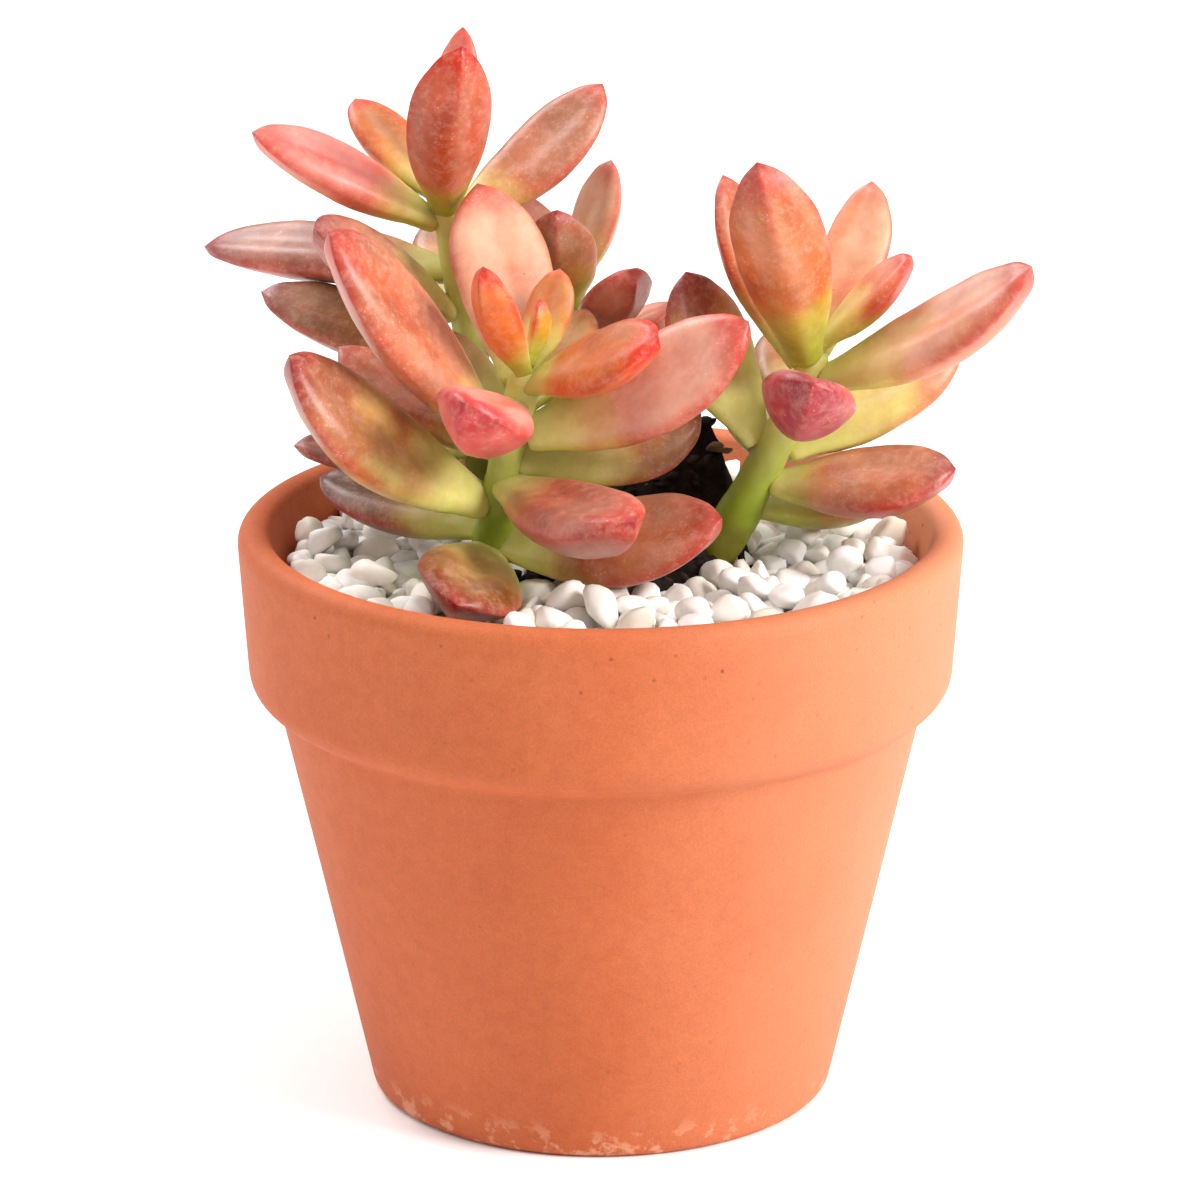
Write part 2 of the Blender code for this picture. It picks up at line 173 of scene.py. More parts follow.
def leaf_line(node, stem_points):
    """The leaf from neck to tip: centres, side directions, half widths, and depths over and under."""
    points, faces = welded(node)
    away = np.linalg.norm(points[:, None] - stem_points[None], axis=2).min(1)
    base = points[away.argmin()]
    tip = int(np.linalg.norm(points - base, axis=1).argmax())
    layers = [layer for layer in layers_from(tip, faces, len(points))[1:] if len(layer) >= 7]
    spans = [np.linalg.norm(points[la][:, None] - points[la][None], axis=2).max() for la in layers]
    widest = int(np.argmax(spans))
    ring = points[layers[widest]]
    gaps = np.linalg.norm(ring[:, None] - ring[None], axis=2)
    i, j = np.unravel_index(gaps.argmax(), gaps.shape)
    side = unit(ring[i] - ring[j])
    rows = {}
    for order in (range(widest, len(layers)), range(widest - 1, -1, -1)):
        direction = side
        for k in order:
            ring = points[layers[k]]
            low, high = ring[(ring @ direction).argmin()], ring[(ring @ direction).argmax()]
            direction = unit(high - low)
            rows[k] = ((high + low) / 2, direction, np.linalg.norm(high - low) / 2, ring)
    count = len(layers)
    rows = [rows[count - 1 - k] for k in range(count)]
    centres = np.array([r[0] for r in rows] + [points[tip]])
    sides = np.array([r[1] for r in rows] + [rows[-1][1]])
    ahead = unit(np.gradient(centres, axis=0))
    normals = unit(np.cross(sides, ahead))
    over = [((r[3] - r[0]) @ n).max() for r, n in zip(rows, normals)]
    under = [-((r[3] - r[0]) @ n).min() for r, n in zip(rows, normals)]
    if sum(over) > sum(under):
        sides, normals, over, under = -sides, -normals, under, over
    halves = [r[2] for r in rows] + [0.0]
    return centres, sides, np.array(halves), np.array(over + [0.0]), np.array(under + [0.0])


# ---------------------------------------------------------------------------------------------------------
# Making pieces


def mesh_piece(name, points, faces, material, slot=None, smooth=True):
    mesh = bpy.data.meshes.new(name)
    mesh.from_pydata(np.asarray(points).tolist(), [], faces)
    mesh.materials.append(material)
    if smooth:
        mesh.shade_smooth()
    made = bpy.data.objects.new(name, mesh)
    bpy.context.scene.collection.objects.link(made)
    if slot:
        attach(made, "root")
    return made


def tinted(piece, values):
    """Stores the colours of the piece's points, which its material reads as "tint"."""
    rgba = np.ones((len(values), 4), np.float32)
    rgba[:, :3] = values
    piece.data.attributes.new("tint", "FLOAT_COLOR", "POINT").data.foreach_set("color", rgba.ravel())


def grid_faces(rows, columns):
    """Faces of a tube of rows x columns points with its two ends closed."""
    faces = []
    for row in range(rows - 1):
        low, high = row * columns, (row + 1) * columns
        for i in range(columns):
            j = (i + 1) % columns
            faces.append((low + i, low + j, high + j, high + i))
    faces.append(tuple(reversed(range(columns))))
    faces.append(tuple((rows - 1) * columns + i for i in range(columns)))
    return faces


def linear(rgb):
    """Linear colour from 0..255 display values."""
    c = np.asarray(rgb, float) / 255
    return np.where(c <= 0.04045, c / 12.92, ((c + 0.055) / 1.055) ** 2.4)


def wobble(points, scale, seed):
    """Smooth noise in -1..1 at each point, with features of about `scale` metres."""
    shift = Vector((seed * 7.1, seed * 3.7, seed * 5.3))
    return np.array([noise.noise(Vector(p) / scale + shift) for p in points])


# ---------------------------------------------------------------------------------------------------------
# Materials


class Nodes:
    """A small helper that adds and links shader nodes."""

    def __init__(self, name):
        self.material = bpy.data.materials.new(name)
        self.material.use_nodes = True
        self.tree = self.material.node_tree
        self.shader = self.tree.nodes["Principled BSDF"]

    def add(self, kind, **settings):
        node = self.tree.nodes.new(kind)
        for key, value in settings.items():
            if key in node.inputs:
                node.inputs[key].default_value = value
            else:
                setattr(node, key, value)
        return node

    def link(self, source, target):
        self.tree.links.new(source, target)

    def place(self):
        return self.add("ShaderNodeTexCoord").outputs["Object"]

    def noise(self, scale, detail=2.0, rough=0.5, where=None):
        node = self.add("ShaderNodeTexNoise", Scale=scale, Detail=detail, Roughness=rough)
        self.link(where or self.place(), node.inputs["Vector"])
        return node.outputs["Fac"]

    def cells(self, scale, where):
        """Distance to the nearest of many scattered points."""
        node = self.add("ShaderNodeTexVoronoi", Scale=scale)
        self.link(where, node.inputs["Vector"])
        return node.outputs["Distance"]

    def ramp(self, source, *stops):
        """A colour ramp from (place, value or colour) stops."""
        node = self.add("ShaderNodeValToRGB")
        elements = node.color_ramp.elements
        while len(elements) < len(stops):
            elements.new(0.5)
        for element, (place, value) in zip(elements, stops):
            element.position = place
            rgb = (value,) * 3 if isinstance(value, (int, float)) else tuple(value)
            element.color = (*rgb, 1.0)
        self.link(source, node.inputs["Fac"])
        return node.outputs["Color"]

    def mix(self, kind, factor, first, second):
        node = self.add("ShaderNodeMix", data_type="RGBA", blend_type=kind)
        sockets = node.inputs[0], node.inputs[6], node.inputs[7]
        for socket, value in zip(sockets, (factor, first, second)):
            if isinstance(value, bpy.types.NodeSocket):
                self.link(value, socket)
            elif isinstance(value, (int, float)):
                socket.default_value = value
            else:
                socket.default_value = (*value, 1.0)
        return node.outputs[2]

    def maths(self, kind, *values):
        node = self.add("ShaderNodeMath", operation=kind)
        for socket, value in zip(node.inputs, values):
            if isinstance(value, bpy.types.NodeSocket):
                self.link(value, socket)
            else:
                socket.default_value = value
        return node.outputs[0]

    def tint(self):
        return self.add("ShaderNodeAttribute", attribute_name="tint").outputs["Color"]

    def bump(self, height, strength, distance):
        node = self.add("ShaderNodeBump", Strength=strength, Distance=distance)
        self.link(height, node.inputs["Height"])
        self.link(node.outputs["Normal"], self.shader.inputs["Normal"])

    def set(self, **values):
        """Sets or links the shader's own sockets, and gives back the material."""
        for key, value in values.items():
            socket = self.shader.inputs[key.replace("_", " ")]
            if isinstance(value, bpy.types.NodeSocket):
                self.link(value, socket)
            elif isinstance(value, tuple) and len(value) == 3 and socket.type == "RGBA":
                socket.default_value = (*value, 1.0)
            else:
                socket.default_value = value
        return self.material


def terracotta():
    n = Nodes("terracotta")
    place = n.place()
    body, dusty, deep = linear((187, 91, 47)), linear((198, 104, 59)), linear((172, 78, 39))
    patch = n.ramp(n.noise(22, 3, 0.55, place), (0.30, 0.0), (0.75, 1.0))
    tone = n.mix("MIX", patch, body, dusty)
    mottle = n.ramp(n.noise(420, 5, 0.7, place), (0.40, 0.0), (0.66, 1.0))
    tone = n.mix("MIX", n.maths("MULTIPLY", mottle, 0.35), tone, deep)
    # Painted highlight: the +X side, which faces the key light, is painted paler and a little patchy, in
    # place of its soft highlight.
    split = n.add("ShaderNodeSeparateXYZ")
    n.link(place, split.inputs[0])
    across = n.maths("DIVIDE", split.outputs["X"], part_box("pot")[1].x)
    painted_lit_side = n.ramp(n.maths("ADD", across, n.maths("MULTIPLY", patch, 0.12)), (0.10, 0.0), (0.95, 1.0))
    tone = n.mix("MIX", n.maths("MULTIPLY", painted_lit_side, 0.50), tone, linear((226, 158, 120)))
    grain = n.noise(3400, 3, 0.75, place)
    tone = n.mix("OVERLAY", 0.30, tone, n.ramp(grain, (0.30, 0.25), (0.70, 0.75)))
    pits = n.ramp(n.cells(360, place), (0.06, 1.0), (0.15, 0.0))
    pot_low, pot_high = (v.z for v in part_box("pot"))
    tall = pot_high - pot_low
    share = n.maths("DIVIDE", split.outputs["Z"], tall)
    near_lip = n.ramp(share, (0.87, 0.0), (0.925, 1.0), (0.965, 1.0), (0.985, 0.2))
    rare = n.ramp(n.noise(260, 2, 0.5, place), (0.47, 0.0), (0.58, 1.0))
    where_pitted = n.maths("ADD", n.maths("MULTIPLY", near_lip, 0.75), 0.25)
    pit = n.maths("MULTIPLY", n.maths("MULTIPLY", pits, rare), where_pitted)
    tone = n.mix("MIX", n.maths("MULTIPLY", pit, 0.9), tone, linear((112, 54, 36)))
    worn = n.ramp(share, (0.0, 1.0), (0.030, 0.6), (0.075, 0.0))
    worn = n.maths("MULTIPLY", worn, n.ramp(n.noise(300, 4, 0.65, place), (0.52, 0.0), (0.60, 1.0)))
    tone = n.mix("MIX", n.maths("MULTIPLY", worn, 0.65), tone, linear((236, 178, 142)))
    relief = n.maths("SUBTRACT", n.maths("MULTIPLY", grain, 0.4), pit)
    n.bump(relief, 0.30, 0.00022)
    return n.set(Base_Color=tone, Roughness=0.66, Specular_IOR_Level=0.35)


def leaf_skin():
    n = Nodes("leaf_skin")
    place = n.place()
    tint = n.tint()
    cloud = n.noise(150, 4, 0.62, place)
    tone = n.mix("OVERLAY", 0.45, tint, n.ramp(cloud, (0.34, 0.26), (0.66, 0.74)))
    # Bloom: a pale wax worn through in scratches and fine dots.
    wax = n.ramp(n.noise(640, 8, 0.80, place), (0.47, 0.0), (0.62, 1.0))
    tone = n.mix("MIX", n.maths("MULTIPLY", wax, 0.24), tone, linear((228, 184, 162)))
    dots = n.ramp(n.cells(1300, place), (0.10, 1.0), (0.26, 0.0))
    some = n.ramp(n.noise(300, 2, 0.5, place), (0.50, 0.0), (0.64, 1.0))
    dotted = n.maths("MULTIPLY", n.maths("MULTIPLY", dots, some), 0.30)
    tone = n.mix("MIX", dotted, tone, linear((246, 214, 190)))
    freckle = n.ramp(n.cells(640, place), (0.06, 1.0), (0.15, 0.0))
    few = n.ramp(n.noise(210, 2, 0.5, place), (0.60, 0.0), (0.70, 1.0))
    freckled = n.maths("MULTIPLY", n.maths("MULTIPLY", freckle, few), 0.45)
    tone = n.mix("MIX", freckled, tone, linear((140, 62, 50)))
    n.bump(n.noise(820, 6, 0.72, place), 0.22, 0.00024)
    dull = n.ramp(wax, (0.0, 0.33), (1.0, 0.55))
    return n.set(
        Base_Color=tone,
        Roughness=dull,
        Specular_IOR_Level=0.45,
        Subsurface_Weight=0.14,
        Subsurface_Radius=(0.0036, 0.0016, 0.0008),
        Subsurface_Scale=0.5,
        Sheen_Weight=0.05,
        Sheen_Roughness=0.45,
    )


def stem_skin():
    n = Nodes("stem_skin")
    place = n.place()
    tint = n.tint()
    cloud = n.noise(260, 4, 0.6, place)
    tone = n.mix("OVERLAY", 0.3, tint, n.ramp(cloud, (0.3, 0.25), (0.7, 0.75)))
    n.bump(n.noise(700, 3, 0.6, place), 0.2, 0.0003)
    return n.set(
        Base_Color=tone,
        Roughness=0.45,
        Specular_IOR_Level=0.4,
        Subsurface_Weight=0.10,
        Subsurface_Radius=(0.003, 0.002, 0.0008),
        Subsurface_Scale=0.5,
    )


def pebble_stone():
    n = Nodes("pebble_stone")
    place = n.place()
    tint = n.tint()
    cloud = n.noise(420, 4, 0.6, place)
    tone = n.mix("MULTIPLY", 0.4, tint, n.ramp(cloud, (0.3, 0.80), (0.62, 1.0)))
    n.bump(n.noise(1600, 4, 0.65, place), 0.25, 0.0002)
    return n.set(Base_Color=tone, Roughness=0.55, Specular_IOR_Level=0.35)


def dark_soil():
    n = Nodes("dark_soil")
    place = n.place()
    cloud = n.noise(600, 5, 0.7, place)
    black, brown, bark = linear((18, 13, 12)), linear((44, 30, 24)), linear((88, 60, 46))
    tone = n.ramp(cloud, (0.35, black), (0.62, brown), (0.8, bark))
    n.bump(n.noise(900, 6, 0.75, place), 0.9, 0.0009)
    return n.set(Base_Color=tone, Roughness=0.9, Specular_IOR_Level=0.15)


def crumb():
    n = Nodes("soil_crumb")
    place = n.place()
    tint = n.tint()
    tone = n.mix("MULTIPLY", 0.7, tint, n.ramp(n.noise(900, 4, 0.6, place), (0.3, 0.5), (0.7, 1.0)))
    n.bump(n.noise(1500, 4, 0.7, place), 0.5, 0.0004)
    return n.set(Base_Color=tone, Roughness=0.85, Specular_IOR_Level=0.2)


# ---------------------------------------------------------------------------------------------------------
# Pot


def pot_outline():
    """The CAD pot's turned outline as (radius, height) points in order round the section."""
    points, faces = welded("pot")
    turn = np.arctan2(points[:, 1], points[:, 0])
    here = np.flatnonzero(np.abs(turn) < 1e-4)
    near = {i: set() for i in here}
    for face in faces:
        for a, b in ((face[0], face[1]), (face[1], face[2]), (face[2], face[0])):
            if a in near and b in near:
                near[a].add(b)
                near[b].add(a)
    start = min(here, key=lambda i: (points[i, 2], -points[i, 0]))
    order, seen = [start], {start}
    while True:
        ahead = sorted(near[order[-1]] - seen, key=lambda i: -points[i, 0])
        if not ahead:
            break
        order.append(ahead[0])
        seen.add(ahead[0])
    return [(points[i, 0], points[i, 2]) for i in order]


def rounded(outline, radius, steps=5):
    """The closed outline with each corner cut by a small arc-like curve."""
    out = []
    count = len(outline)
    for i in range(count):
        before, here, after = (Vector(outline[(i + k) % count]) for k in (-1, 0, 1))
        cut = min(radius, 0.45 * (before - here).length, 0.45 * (after - here).length)
        first = here + (before - here).normalized() * cut
        last = here + (after - here).normalized() * cut
        for k in range(steps + 1):
            t = k / steps
            out.append(first * (1 - t) ** 2 + here * 2 * t * (1 - t) + last * t * t)
    return out


def resampled(outline, spacing):
    """The closed outline with extra points so that none is further than `spacing` from the next."""
    out = []
    for i, here in enumerate(outline):
        there = outline[(i + 1) % len(outline)]
        parts = max(1, int((there - here).length / spacing))
        out += [here.lerp(there, k / parts) for k in range(parts)]
    return out


def make_pot(material):
    outline = resampled(rounded(pot_outline(), POT_CORNER), POT_SPACING)
    profile = np.array([(p.x, p.y) for p in outline])
    turns = 2 * np.pi * np.arange(POT_TURNS) / POT_TURNS
    radius = profile[:, 0][None].repeat(POT_TURNS, 0)
    height = profile[:, 1][None].repeat(POT_TURNS, 0)
    spin = turns[:, None]
    # A thrown pot is never quite round. The drain hole is left as it is.
    wave = 0.10 * MM * np.sin(2 * spin + 0.6) * (height / cad_high[2])
    wave = wave + 0.06 * MM * np.sin(3 * spin + height * 60)
    radius = radius + wave * (profile[:, 0] > 20 * MM)[None]
    points = np.stack([radius * np.cos(spin), radius * np.sin(spin), height], -1).reshape(-1, 3)
    count = len(profile)
    faces = []
    for k in range(POT_TURNS):
        here, there = k * count, (k + 1) % POT_TURNS * count
        for i in range(count):
            j = (i + 1) % count
            faces.append((here + i, there + i, there + j, here + j))
    pot = mesh_piece("clay_pot", points, faces, material, "terracotta")
    outward(pot)
    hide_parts("pot")
    return pot


def outward(piece):
    shape = bmesh.new()
    shape.from_mesh(piece.data)
    bmesh.ops.recalc_face_normals(shape, faces=shape.faces)
    shape.to_mesh(piece.data)
    shape.free()


# ---------------------------------------------------------------------------------------------------------
# Stems and leaves

# Each leaf's colours, as display values: underside, upper face, tip; then how far up the green of its neck
# reaches, as a share of its length.
LEAF_LOOKS = {
    "a01": ((214, 116, 70), (236, 142, 134), (226, 96, 84), 0.22),
    "a02": ((204, 126, 66), (212, 134, 76), (224, 74, 62), 0.32),
    "a03": ((186, 88, 56), (194, 104, 72), (206, 56, 44), 0.12),
    "a04": ((222, 126, 108), (226, 132, 116), (226, 92, 80), 0.10),
    "a05": ((174, 100, 72), (180, 116, 88), (188, 88, 74), 0.16),
    "a07": ((174, 98, 62), (168, 104, 88), (146, 60, 60), 0.15),
    "a08": ((144, 102, 70), (154, 110, 78), (146, 70, 66), 0.35),
    "a09": ((160, 104, 76), (172, 112, 94), (168, 86, 80), 0.38),
    "a11": ((150, 108, 66), (186, 138, 116), (176, 110, 96), 0.40),
    "a15": ((158, 98, 76), (168, 110, 92), (158, 76, 66), 0.20),
    "b01": ((228, 154, 118), (234, 172, 142), (222, 100, 86), 0.10),
    "b02": ((182, 94, 54), (194, 120, 90), (190, 70, 62), 0.14),
    "b03": ((228, 132, 72), (236, 146, 88), (220, 44, 40), 0.22),
    "b04": ((230, 152, 70), (232, 160, 96), (236, 112, 78), 0.40),
    "b05": ((226, 160, 60), (234, 140, 80), (216, 50, 44), 0.45),
    "b06": ((220, 112, 54), (212, 120, 68), (230, 52, 44), 0.14),
    "b07": ((222, 104, 100), (228, 132, 120), (196, 54, 62), 0.02),
    "b08": ((206, 74, 38), (224, 164, 142), (200, 60, 50), 0.22),
    "b09": ((160, 112, 58), (170, 106, 76), (156, 52, 52), 0.42),
    "b10": ((178, 108, 88), (186, 96, 80), (196, 70, 60), 0.14),
    "b11": ((180, 96, 60), (184, 114, 82), (188, 74, 62), 0.34),
    "b12": ((142, 80, 46), (140, 92, 46), (140, 52, 40), 0.38),
    "b13": ((156, 96, 54), (164, 112, 68), (150, 78, 52), 0.46),
    "b14": ((184, 98, 66), (180, 106, 84), (172, 84, 74), 0.20),
    "b15": ((150, 120, 70), (170, 150, 84), (160, 110, 76), 0.60),
    # Partly painted shade: b16 sits in shadow, and its colours, though lifted from its shadowed look, stay
    # darker than the other leaves'.
    "b16": ((104, 64, 50), (110, 74, 56), (100, 44, 40), 0.25),
    "b17": ((200, 142, 98), (206, 160, 100), (186, 118, 96), 0.40),
    "c01": ((198, 116, 72), (206, 124, 82), (196, 84, 74), 0.26),
    "c02": ((180, 106, 62), (190, 116, 80), (194, 98, 86), 0.30),
    "c03": ((234, 168, 124), (236, 172, 134), (226, 128, 108), 0.18),
    "c04": ((214, 84, 48), (222, 122, 86), (206, 50, 40), 0.36),
    "c05": ((214, 114, 62), (230, 174, 152), (196, 76, 64), 0.34),
    "c06": ((182, 136, 64), (214, 152, 124), (196, 110, 84), 0.58),
    "c07": ((176, 78, 88), (206, 116, 112), (150, 36, 50), 0.02),
    "c08": ((160, 92, 62), (156, 88, 70), (144, 56, 52), 0.52),
    "c09": ((172, 92, 64), (186, 116, 86), (160, 68, 66), 0.12),
    "c10": ((158, 130, 58), (184, 142, 92), (186, 122, 92), 0.60),
    "c12": ((176, 150, 70), (194, 168, 98), (160, 96, 72), 0.60),
    "c13": ((164, 122, 68), (176, 116, 74), (160, 90, 70), 0.40),
    "d01": ((212, 158, 126), (220, 172, 144), (206, 100, 86), 0.24),
    "d02": ((180, 132, 96), (192, 154, 126), (170, 56, 50), 0.40),
    "d03": ((202, 136, 114), (212, 148, 132), (206, 90, 80), 0.20),
    "d04": ((204, 120, 98), (216, 146, 126), (186, 88, 74), 0.20),
    "d05": ((154, 84, 62), (178, 114, 94), (160, 76, 66), 0.20),
    "d06": ((158, 98, 70), (174, 116, 90), (160, 80, 70), 0.30),
    "d07": ((160, 110, 66), (176, 124, 86), (160, 80, 70), 0.38),
}
LEAF_DEPTH = 0.87
LEAF_VIVID = 1.10
NECK_GREEN = (192, 206, 76)
NECK_CREAM = (228, 224, 138)
NECK_ORANGE = (222, 138, 66)
BLUSH_RED = (190, 40, 38)
POINT_RED = (150, 30, 34)


def step(low, high, value):
    t = np.clip((value - low) / (high - low), 0, 1)
    return t * t * (3 - 2 * t)


def make_leaf(name, material, stem_points, index):
    node = "leaf_" + name
    centres, sides, halves, over, under = leaf_line(node, stem_points)
    run = np.concatenate([[0], np.cumsum(np.linalg.norm(np.diff(centres, axis=0), axis=1))])
    length = run[-1]
    share = 1 - (1 - np.linspace(0, 1, LEAF_ROWS)) ** 1.35
    at = share * length
    centre = smooth_through(run, centres, at)
    side = unit(smooth_through(run, sides, at))
    half, high, low = (
        np.clip(smooth_through(run, values, at), 0.04 * MM, None) for values in (halves, over, under)
    )
    ahead = unit(np.gradient(centre, axis=0))
    up = unit(np.cross(side, ahead))
    # The neck is carried on into the stem, a little narrower.
    reach = NECK_REACH * np.array([1.0, 0.66, 0.33])
    centre = np.concatenate([centre[0] - ahead[0] * reach[:, None], centre])
    side = np.concatenate([side[:1].repeat(3, 0), side])
    up = np.concatenate([up[:1].repeat(3, 0), up])
    shrink = np.array([0.80, 0.90, 0.97])
    half, high, low = (np.concatenate([v[0] * shrink, v]) for v in (half, high, low))
    share = np.concatenate([[0, 0, 0], share])

    turn = 2 * np.pi * np.arange(LEAF_SIDES) / LEAF_SIDES
    across = np.cos(turn)
    upper = np.sin(turn) > 1e-9
    flat = np.abs(across)[None]
    keeled = step(0.45, 0.95, share)[:, None]
    dished = step(0.1, 0.5, share)[:, None] * (1 - 0.5 * step(0.75, 1.0, share)[:, None])
    top = (1 - flat**3.4) ** 0.62 - 0.30 * np.exp(-((across / 0.42) ** 2))[None] * dished
    bottom = (1 - flat**1.8) ** 0.72 * (1 - keeled) + (1 - flat**1.12) ** 0.92 * keeled
    rise = np.where(upper[None], high[:, None] * top, -low[:, None] * bottom)
    points = centre[:, None] + side[:, None] * (half[:, None] * across[None])[..., None]
    points = points + up[:, None] * rise[..., None]
    rows = len(centre)
    flat_points = points.reshape(-1, 3)
    dent = wobble(flat_points, 6 * MM, index) * 0.22 * MM
    dent = dent + wobble(flat_points, 2.0 * MM, index + 50) * 0.05 * MM
    outward_way = unit(flat_points - centre.repeat(LEAF_SIDES, 0) + 1e-9)
    fade = (step(0.0, 0.1, share) * (1 - step(0.93, 1.0, share))).repeat(LEAF_SIDES)
    flat_points = flat_points + outward_way * (dent * fade)[:, None]
    faces = grid_faces(rows, LEAF_SIDES)
    leaf = mesh_piece("succulent_leaf_" + name, flat_points, faces, material, "leaf")
    outward(leaf)
    share, across, upper = share.repeat(LEAF_SIDES), np.tile(across, rows), np.tile(upper, rows)
    paint_leaf(leaf, name, index, share, across, upper, flat_points)
    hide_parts(node)
    return leaf


def paint_leaf(leaf, name, index, share, across, upper, points):
    """The leaf's own colour at each point: a green neck, two faces, blushed margins and a red tip."""
    *tones, green = LEAF_LOOKS[name]
    under, over, tip = (linear(c) for c in tones)
    cloud = wobble(points, 8 * MM, index + 9)
    patch = wobble(points, 3.2 * MM, index + 23)
    above = (0.5 + 0.5 * np.where(upper, 1, -1) * (1 - np.abs(across) ** 6))[:, None]
    tone = under * (1 - above) + over * above
    # Redder cheeks half way to each margin on the underside, and a paler middle on the upper face.
    cheek = np.exp(-(((np.abs(across) - 0.62) / 0.24) ** 2)) * (~upper) * step(0.15, 0.4, share)
    cheek = (cheek * np.clip(0.55 + 0.9 * cloud, 0, 1))[:, None] * 0.45
    tone = tone * (1 - cheek) + tone * linear((255, 178, 150)) * cheek
    # Streaks along the blade, some redder and some paler.
    places = np.stack([share * 2.2, across * 2.0 + 3 * upper, np.full(len(share), float(index))], -1)
    streak = np.array([noise.noise(Vector(p)) for p in places])
    deep = np.clip(streak * 1.8, 0, 1)[:, None] * 0.62
    tone = tone * (1 - deep) + tone * linear((250, 176, 148)) * deep
    pale = np.clip(-streak * 1.6, 0, 1)[:, None] * 0.22
    tone = tone * (1 - pale) + linear((236, 196, 176)) * pale
    reach = green * (1 + 0.6 * cloud + 0.3 * patch) * 0.85
    warm = (0.30 * np.exp(-(((share - 1.35 * reach) / (0.5 * reach + 0.05)) ** 2)))[:, None]
    tone = tone * (1 - warm) + linear(NECK_ORANGE) * warm
    fresh = 1 - step(reach * 0.2, reach * 1.7 + 0.08, share)
    cream = linear(NECK_GREEN) * (1 - above) + linear(NECK_CREAM) * above
    tone = tone * (1 - 0.94 * fresh[:, None]) + cream * 0.94 * fresh[:, None]
    rim = step(0.86, 0.995, np.abs(across)) * step(0.22, 0.6, share) * np.clip(0.8 + 0.8 * cloud, 0, 1)
    keel = np.exp(-((across / 0.10) ** 2)) * (~upper) * step(0.50, 0.92, share)
    red = (np.maximum(rim, keel) * 0.62)[:, None]
    tone = tone * (1 - red) + linear(BLUSH_RED) * red
    tipped = step(0.80, 0.98, share + 0.06 * cloud + 0.04 * np.abs(across))[:, None] * 0.85
    tone = tone * (1 - tipped) + tip * tipped
    point = step(0.955, 0.995, share)[:, None] * 0.6
    tone = tone * (1 - point) + linear(POINT_RED) * point
    grey = tone.mean(1, keepdims=True)
    tinted(leaf, np.clip(grey + (tone - grey) * LEAF_VIVID, 0.004, 1) * LEAF_DEPTH)


def make_stem(key, material):
    node = "stem_" + key
    centres, radii = stem_line(node)
    run = np.concatenate([[0], np.cumsum(np.linalg.norm(np.diff(centres, axis=0), axis=1))])
    at = np.linspace(0, run[-1], STEM_ROWS)
    centre = smooth_through(run, centres, at)
    radius = np.interp(at, run, radii)
    ahead = unit(np.gradient(centre, axis=0))
    side = unit(np.cross(ahead, (0.0, 1.0, 0.0)))
    up = np.cross(side, ahead)
    turn = 2 * np.pi * np.arange(STEM_SIDES) / STEM_SIDES
    ring = side[:, None] * np.cos(turn)[None, :, None] + up[:, None] * np.sin(turn)[None, :, None]
    points = (centre[:, None] + ring * radius[:, None, None]).reshape(-1, 3)
    lumps = wobble(points, 3.0 * MM, 3) * 0.25 * MM
    points = points + ring.reshape(-1, 3) * lumps[:, None]
    stem = mesh_piece("succulent_stem_" + key, points, grid_faces(STEM_ROWS, STEM_SIDES), material, "stem")
    outward(stem)
    share = (at / run[-1]).repeat(STEM_SIDES)[:, None]
    low, high = linear((138, 156, 30)), linear((216, 212, 124))
    tone = low * (1 - step(0.35, 0.92, share)) + high * step(0.35, 0.92, share)
    cloud = wobble(points, 5 * MM, 61)[:, None]
    earth = (1 - step(0.16, 0.42, share + 0.12 * cloud)) * 0.7
    tone = tone * (1 - earth) + linear((112, 74, 34)) * earth
    tinted(stem, tone)
    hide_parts(node)
    return stem


# ---------------------------------------------------------------------------------------------------------
# Filling: soil and pebbles


def make_soil(material):
    """The CAD soil's top, cut finer and roughened."""
    points, faces = welded("soil")
    shape = bmesh.new()
    for p in points:
        shape.verts.new(p)
    shape.verts.ensure_lookup_table()
    for face in faces:
        shape.faces.new([shape.verts[i] for i in face])
    level = cad_soil_top()
    top = [e for e in shape.edges if all(v.co.z > level - 1 * MM for v in e.verts)]
    bmesh.ops.subdivide_edges(shape, edges=top, cuts=3, use_grid_fill=True)
    for v in shape.verts:
        if v.co.z > level - 0.5 * MM:
            place = v.co / MM
            lump = noise.noise(place * 0.28) * 1.3 + noise.noise(place * 0.8 + Vector((9, 2, 4))) * 0.8
            v.co.z += lump * MM
    mesh = bpy.data.meshes.new("rough_soil")
    shape.to_mesh(mesh)
    shape.free()
    mesh.materials.append(material)
    mesh.shade_smooth()
    soil = bpy.data.objects.new("rough_soil", mesh)
    bpy.context.scene.collection.objects.link(soil)
    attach(soil, "root")
    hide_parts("soil")
    outward(soil)
    scatter_crumbs(soil)
    return soil


